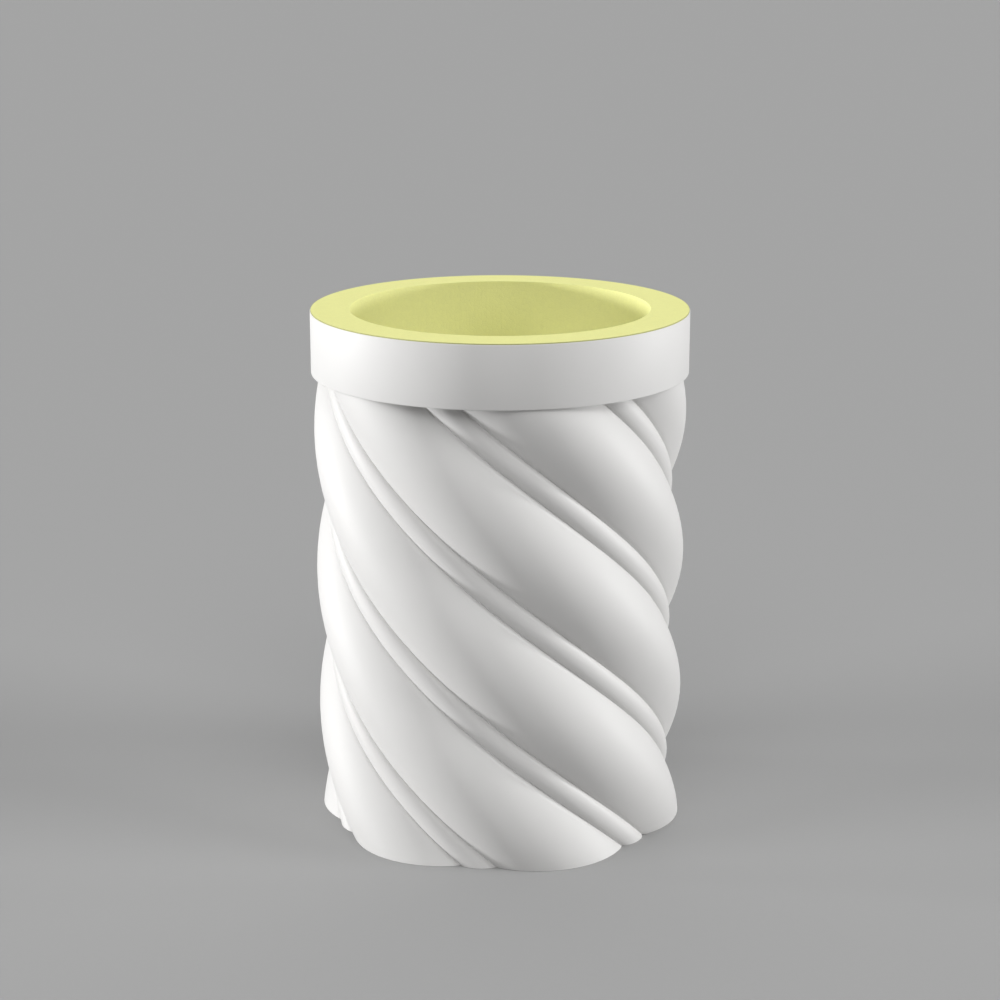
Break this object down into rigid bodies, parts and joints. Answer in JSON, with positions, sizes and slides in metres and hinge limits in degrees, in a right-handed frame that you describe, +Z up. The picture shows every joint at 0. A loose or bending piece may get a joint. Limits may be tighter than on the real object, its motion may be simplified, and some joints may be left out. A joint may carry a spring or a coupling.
{
  "type": "barley twist column",
  "caption": "Hollow length of decorative column: a plain round band over a shaft of wide twisted strands with slim beads between them, bored through to slip over a post.",
  "frame": {"origin": "on the column's axis, at the level of the cut underside it stands on", "axes": "+Z up along the axis, towards the banded end; -Y towards the side that the picture shows"},
  "size_m": [0.3, 0.3, 0.42],
  "materials": {
    "white_coat": "smooth matt off-white coat on the band and the twisted shaft",
    "bare_foam": "matt pale yellow foam, bare on the two cut faces and inside the bore"
  },
  "bodies": {
    "root": {"twisted_column": "white_coat"}
  },
  "joints": []
}
